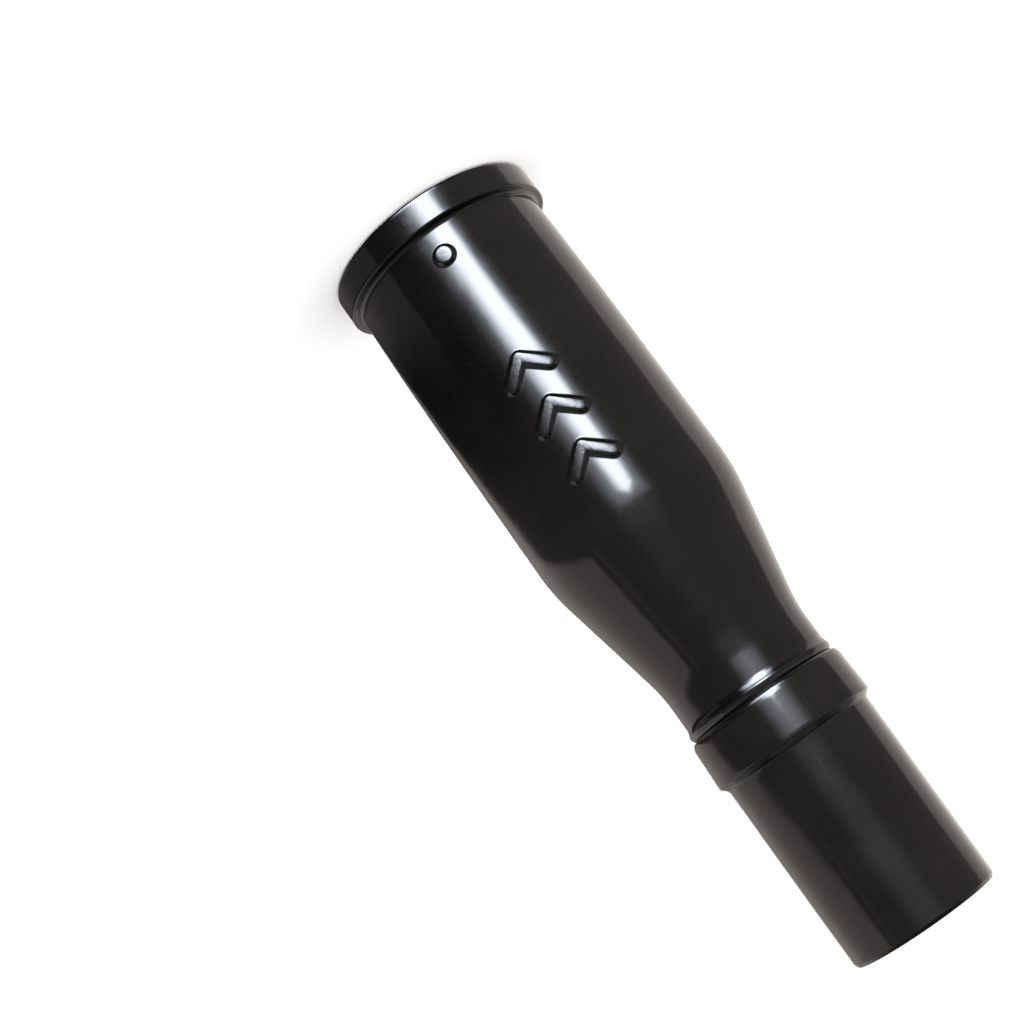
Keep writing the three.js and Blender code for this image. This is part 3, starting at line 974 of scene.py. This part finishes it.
def makePlugTerminal():
    spec = terminal
    socket, outer = spec["socketRadius"], spec["socketRadius"] + spec["wall"]
    groove = socket + spec["grooveFloor"]
    grooveLow = spec["grooveMiddle"] - spec["grooveHalf"]
    grooveHigh = spec["grooveMiddle"] + spec["grooveHalf"]
    seat = spec["seat"]
    flange = seat - spec["flangeThickness"]
    shank = spec["shankRadius"]
    corners = [
        (0, spec["socketEnd"] + 0.35, 0),
        (socket, spec["socketEnd"], 0.1),
        (socket, terminalBottom + spec["chamfer"], 0.08),
        (socket + spec["chamfer"], terminalBottom, 0.06),
        (outer, terminalBottom, 0.15),
        (outer, grooveLow, 0.06),
        (groove, grooveLow, 0.04),
        (groove, grooveHigh, 0.04),
        (outer, grooveHigh, 0.06),
        (outer, flange, 0.08),
        (terminalRadius, flange, 0.15),
        (terminalRadius, seat, 0.12),
        (shank, seat, 0.05),
    ]
    profile = rounded(corners, closed=False, steps=4)
    # the shank has its rows close together for the thread, and a chamfered end
    profile += spaced((shank, seat + 0.1), (shank, terminalTop - 0.45), 0.09)
    profile += [(shank - 0.4, terminalTop - 0.04), (shank - 0.46, terminalTop), (0, terminalTop)]
    piece = turned("plugTerminal", profile, evenTurn(spec["columns"]), False, shankThread, 35)
    reach = outer + 0.3
    cuts = []
    for low, high in ((-reach, -spec["cutStart"]), (spec["cutStart"], reach)):
        cuts.append(((low, -2 * reach, grooveLow), (high, 2 * reach, grooveHigh)))
    cutBoxes(piece, cuts)
    finished(piece, brass, "plug_terminal")


makePlugTerminal()


clip = {
    "wireRadius": 0.4,
    "legX": 3.1,
    "legEnd": -3.79,
    "backRadius": 4.5,
    "height": 26.2,
    "steps": 96,
}


# A smooth line through points, as even steps along it
def smoothThrough(points, count, parts=60):
    points = [Vector(point) for point in points]
    dense = []
    for i in range(len(points) - 1):
        before = points[i - 1] if i else points[0] * 2 - points[1]
        after = points[i + 2] if i + 2 < len(points) else points[-1] * 2 - points[-2]
        a, b = points[i], points[i + 1]
        for k in range(parts):
            t = k / parts
            dense.append(0.5 * (
                2 * a + (b - before) * t + (2 * before - 5 * a + 4 * b - after) * t * t
                + (3 * a - before - 3 * b + after) * t ** 3
            ))
    dense.append(points[-1])
    lengths = [0.0]
    for a, b in zip(dense, dense[1:]):
        lengths.append(lengths[-1] + (b - a).length)
    result, k = [], 0
    for i in range(count):
        target = lengths[-1] * i / (count - 1)
        while k < len(lengths) - 2 and lengths[k + 1] < target:
            k += 1
        span = lengths[k + 1] - lengths[k]
        result.append(dense[k].lerp(dense[k + 1], (target - lengths[k]) / span if span else 0))
    return result


def makeTerminalClip():
    spec = clip
    back, height = spec["backRadius"], spec["height"]
    bend = math.acos(spec["legX"] / back)
    bendY = back * math.sin(bend)
    half = [(spec["legX"], y, height) for y in (spec["legEnd"], 0, bendY / 2, 0.8 * bendY)]
    for share in (0.15, 0.45, 0.8):
        angle = bend + (math.pi / 2 - bend) * share
        half.append((back * math.cos(angle), back * math.sin(angle), height))
    other = [(-x, y, z) for x, y, z in reversed(half)]
    path = smoothThrough(half + other, spec["steps"])
    radii = roundedEnds(len(path), spec["wireRadius"], steps=2)
    piece = swept("terminalClip", path, radii)
    finished(piece, springSteel, "terminal_clip")


makeTerminalClip()


washer = {"bore": 4.0, "edge": 0.1, "columns": 96}


def makeTerminalWasher():
    edge = washer["edge"]
    corners = [
        (washer["bore"], washerBottom, edge), (washerRadius, washerBottom, edge),
        (washerRadius, washerTop, edge), (washer["bore"], washerTop, edge),
    ]
    piece = turned("terminalWasher", rounded(corners, steps=4), evenTurn(washer["columns"]))
    finished(piece, fibre, "terminal_washer")


makeTerminalWasher()


resistor = {"edge": 0.18, "columns": 72, "cupWall": 0.3, "cupEdge": 0.14, "cupBore": 2.7}


def makeResistor():
    bottom, top, radius = extent("resistor_rod")
    edge = resistor["edge"]
    corners = [(0, bottom, 0), (radius, bottom, edge), (radius, top, edge), (0, top, 0)]
    points = rounded(corners, closed=False, steps=5)
    piece = turned("resistorRod", points, evenTurn(resistor["columns"]), closed=False)
    finished(piece, ceramic, "resistor_rod")


def makeResistorCap(name, node, side):
    bottom, top, radius = extent(node)
    face, rim = (bottom, top) if side > 0 else (top, bottom)
    floor = face + side * resistor["cupWall"]
    edge, bore = resistor["cupEdge"], resistor["cupBore"]
    corners = [
        (0, face, 0), (radius, face, edge * 2), (radius, rim, edge), (bore, rim, edge),
        (bore, floor, edge / 2), (0, floor, 0),
    ]
    if side < 0:
        corners.reverse()
    points = rounded(corners, closed=False, steps=4)
    piece = turned(name, points, evenTurn(resistor["columns"]), closed=False)
    finished(piece, plating, node)


makeResistor()
makeResistorCap("resistorCapPlugSide", "resistor_cap_plug_side", 1)
makeResistorCap("resistorCapCableSide", "resistor_cap_cable_side", -1)


spring = {"wireRadius": 0.25, "coilGap": 0.05, "turns": 5, "stepsPerTurn": 44}


def makeContactSpring():
    bottom, top, radius = extent("contact_spring")
    spec = spring
    low, high = bottom + spec["wireRadius"], top - spec["wireRadius"]
    centre = radius - spec["wireRadius"]
    closedRise = 2 * spec["wireRadius"] + spec["coilGap"]  # the first and last turn lie close
    count = spec["turns"] * spec["stepsPerTurn"]
    path = []
    for i in range(count + 1):
        turn = spec["turns"] * i / count
        if turn < 1:
            height = low + closedRise * turn
        elif turn > spec["turns"] - 1:
            height = high - closedRise * (spec["turns"] - turn)
        else:
            share = (turn - 1) / (spec["turns"] - 2)
            height = low + closedRise + (high - low - 2 * closedRise) * share
        angle = 2 * math.pi * turn
        path.append((centre * math.cos(angle), centre * math.sin(angle), height))
    radii = roundedEnds(len(path), spec["wireRadius"], steps=1)
    piece = swept("contactSpring", path, radii, sides=12)
    finished(piece, springSteel, "contact_spring")


makeContactSpring()


insert = {"bore": 1.6, "edge": 0.08, "columns": 96}


def makeCableInsert():
    grooveLow, grooveHigh, depth = body["insertGroove"]
    edge = insert["edge"]
    corners = [
        (insert["bore"], insertBottom, edge),
        (insertRadius, insertBottom, edge),
        (insertRadius, grooveLow, edge),
        (insertRadius - depth, grooveLow + depth, edge),
        (insertRadius - depth, grooveHigh - depth, edge),
        (insertRadius, grooveHigh, edge),
        (insertRadius, insertTop, edge),
        (insert["bore"], insertTop, edge),
    ]
    piece = turned("cableInsert", rounded(corners, steps=3), evenTurn(insert["columns"]), crease=30)
    finished(piece, brass, "cable_insert")


screw = {
    "headRadius": 1.85,
    "shankRadius": 1.5,
    "rootRadius": 1.22,
    "threadHeight": 0.44,
    "threadPitch": 1.9,
    "threadWidth": 0.62,  # of the pitch
    "threadSharpness": 1.2,
    "threadEnds": (0.6, 0.7),
    "threadFades": (0.6, 1.2),
    "pointLength": 3.2,
    "slotWidth": 0.5,
    "slotDepth": 0.5,
    "columns": 60,
}


def screwThread(angle, radius, height):
    spec = screw
    lowEnd, highEnd = spec["threadEnds"]
    low, high = insertTop + lowEnd, screwTop - highEnd
    if not low < height < high or radius > spec["rootRadius"] + 0.01:
        return 0
    phase = (height / spec["threadPitch"] - angle / (2 * math.pi)) % 1
    crest = max(0.0, 1 - abs(2 * phase - 1) / spec["threadWidth"])
    lowFade, highFade = spec["threadFades"]
    fade = min(1, (height - low) / lowFade, (high - height) / highFade)
    return spec["threadHeight"] * fade * crest ** spec["threadSharpness"]


def makeCableScrew():
    bottom, top = screwBottom, screwTop
    spec = screw
    head, shank, root = spec["headRadius"], spec["shankRadius"], spec["rootRadius"]
    corners = [
        (0, bottom, 0),
        (head, bottom, 0.15),
        (head, insertBottom, 0.08),
        (shank, insertBottom, 0.04),
        (shank, insertTop + 0.2, 0.05),
        (root, insertTop + 0.55, 0.05),
        (root, insertTop + 0.8, 0),
    ]
    profile = rounded(corners, closed=False, steps=3)
    # close rows for the thread, up to the sharp point
    pointStart = top - spec["pointLength"]
    profile += spaced((root, insertTop + 0.85), (root, pointStart), 0.06)
    profile += spaced((root, pointStart), (0.0, top), 0.06)[1:]
    piece = turned("cableScrew", profile, evenTurn(spec["columns"]), False, screwThread, 50)
    half = spec["slotWidth"] / 2
    cutBoxes(piece, [((-3, -half, bottom - 1), (3, half, bottom + spec["slotDepth"]))])
    finished(piece, brass, "cable_screw")


makeCableInsert()
makeCableScrew()


floorSpec = {
    "radius": 1600.0,
    "columns": 96,
    "pale": (0.90, 0.90, 0.89, 1),
    "paler": (0.93, 0.93, 0.925, 1),
    "toneSize": 60.0,
    "roughness": 0.7,
}


def makeFloor(spec):
    radius = spec["radius"]
    angles = evenTurn(spec["columns"])
    rim = [(radius * math.cos(angle), radius * math.sin(angle), 0) for angle in angles]
    floor = meshFrom("floor", rim, [tuple(range(len(rim)))])
    material, tree, shader = newMaterial("paleFloor", {
        "Roughness": spec["roughness"], "Specular IOR Level": 0.0,
    })
    tone = cloudy(tree, placeOn(tree), spec["toneSize"], 3.0, 0.5)
    colour = blended(tree, remapped(tree, tone, 0.3, 0.7), spec["pale"], spec["paler"])
    join(tree, shader, {"Base Color": colour})
    floor.data.materials.append(material)
    # the floor shows to the camera only, so that the cap's gloss mirrors the studio all round
    floor.visible_glossy = False
    floor.visible_diffuse = False
    floor.visible_transmission = False
    floor.visible_shadow = False


makeFloor(floorSpec)

overhead = {"strength": 3.4, "softness": 95.0, "tilt": (12, -8)}  # angles in degrees


def makeOverheadLight(spec):
    data = bpy.data.lights.new("overhead", "SUN")
    data.energy = spec["strength"]
    data.angle = math.radians(spec["softness"])
    light = bpy.data.objects.new("overhead", data)
    light.rotation_euler = (math.radians(spec["tilt"][0]), math.radians(spec["tilt"][1]), 0)
    light.location = (0, 0, 0.4)
    light.visible_glossy = False
    light.visible_camera = False
    bpy.context.scene.collection.objects.link(light)


makeOverheadLight(overhead)

# What the gloss mirrors, as soft lamps and walls round the cap. Azimuth is counted from -Y and
# grows towards +X, in degrees from the lamp's own middle. Each edge goes from dark to full.
studio = {
    "daylight": {
        "colour": (0.83, 0.89, 1.0, 1),
        "base": 0.0,
        "lamps": [
            # strength, middle, left edge, right edge, lower edge, upper edge, slant, point
            (23.0, -11, (-17, -8), (19, -1), (-52, -38), (-5.5, -10), 0, 0.5),
            (1.5, -8, (-25, -15), (30, 6), (-70, -50), (-3, -12), 0, 0),
            (2.5, -10, (-30, -8), (26, 4), (-66, -46), (-1.5, -5), 0, 0),
            (0.30, -8, (-30, -10), (30, 8), (-4, -1), (18, 6), 0, 0),
            (8.0, 180, (-9, -4), (9, 4), (-48, -34), (8, -2), 0, 0),
            (0.34, 0, (-160, -120), (160, 120), (18, 28), (50, 40), 0, 0),
            (14.0, -8, (-32, -16), (34, 14), (-54, -44), (-24, -32), 0, 0),
        ],
    },
    "walls": {
        "colour": (1.0, 0.92, 0.86, 1),
        "base": 0.02,
        "lamps": [
            (0.34, -55, (-60, -54), (98, 45), (-50, -30), (50, 22), 0, 0),
            (0.18, 100, (-95, -60), (81, 79), (-17, -11), (50, 22), 0, 0),
            (1.0, -150, (-50, -2), (42, 38), (-88, -80), (42, 26), 0, 0),
            (0.22, 180, (-18, -4), (80, 30), (-88, -80), (42, 26), 0, 0),
            (0.62, 100, (-40, -36), (78, 30), (-7, -3), (42, 26), 0.25, 0),
            (0.14, 52, (-4, -2), (4, 2), (0, 5), (42, 26), 0, 0),
            (0.26, 100, (-40, -36), (78, 30), (-35, -30), (-19, -23), 0, 0),
            (0.40, 100, (-6, 14), (78, 30), (-64, -54), (-29, -35), 0, 0),
            (0.45, 180, (-80, -40), (80, 40), (36, 52), (92, 91), 0, 0),
            (0.24, 0, (-200, -190), (200, 190), (66, 76), (92, 91), 0, 0),
        ],
    },
}


def lampShape(tree, direction, elevation, lamp):
    x, y = direction
    strength, middle, left, right, lower, upper, slant, point = lamp
    sine, cosine = math.sin(math.radians(middle)), math.cos(math.radians(middle))
    across = computed(tree, "MULTIPLY_ADD", x, cosine, computed(tree, "MULTIPLY", y, sine))
    ahead = computed(tree, "MULTIPLY_ADD", x, sine, computed(tree, "MULTIPLY", y, -cosine))
    azimuth = computed(tree, "DEGREES", computed(tree, "ARCTAN2", across, ahead))
    # the lower edge may slant, and the upper one may come to a point in the middle
    low = computed(tree, "MULTIPLY_ADD", azimuth, slant, elevation)
    high = computed(tree, "MULTIPLY_ADD", computed(tree, "ABSOLUTE", azimuth), point, elevation)
    shape = remapped(tree, azimuth, *left, smooth=True)
    for angle, edge in ((azimuth, right), (low, lower), (high, upper)):
        shape = computed(tree, "MULTIPLY", shape, remapped(tree, angle, *edge, smooth=True))
    return computed(tree, "MULTIPLY", shape, strength)


def makeStudio(spec):
    world = bpy.data.worlds.new("studio")
    bpy.context.scene.world = world
    world.use_nodes = True
    tree = world.node_tree
    tree.nodes.clear()
    generated = addNode(tree, "ShaderNodeTexCoord").outputs["Generated"]
    x, y, z = addNode(tree, "ShaderNodeSeparateXYZ", {0: generated}).outputs
    elevation = computed(tree, "DEGREES", computed(tree, "ARCSINE", z))
    sources = []
    for group in spec.values():
        total = group["base"]
        for lamp in group["lamps"]:
            total = computed(tree, "ADD", lampShape(tree, (x, y), elevation, lamp), total)
        source = addNode(tree, "ShaderNodeBackground", {
            "Strength": total, "Color": group["colour"],
        })
        sources.append(source.outputs[0])
    mirrored = addNode(tree, "ShaderNodeAddShader", dict(enumerate(sources))).outputs[0]
    # the camera itself sees plain white behind the cap
    backdrop = addNode(tree, "ShaderNodeBackground", {"Strength": 1.0, "Color": (1, 1, 1, 1)})
    seen = addNode(tree, "ShaderNodeLightPath").outputs["Is Camera Ray"]
    mixed = addNode(tree, "ShaderNodeMixShader", {0: seen, 1: mirrored, 2: backdrop.outputs[0]})
    addNode(tree, "ShaderNodeOutputWorld", {"Surface": mixed.outputs[0]})


makeStudio(studio)
bpy.context.scene.view_settings.view_transform = "Standard"
bpy.context.scene.view_settings.look = "None"
print("studio made")
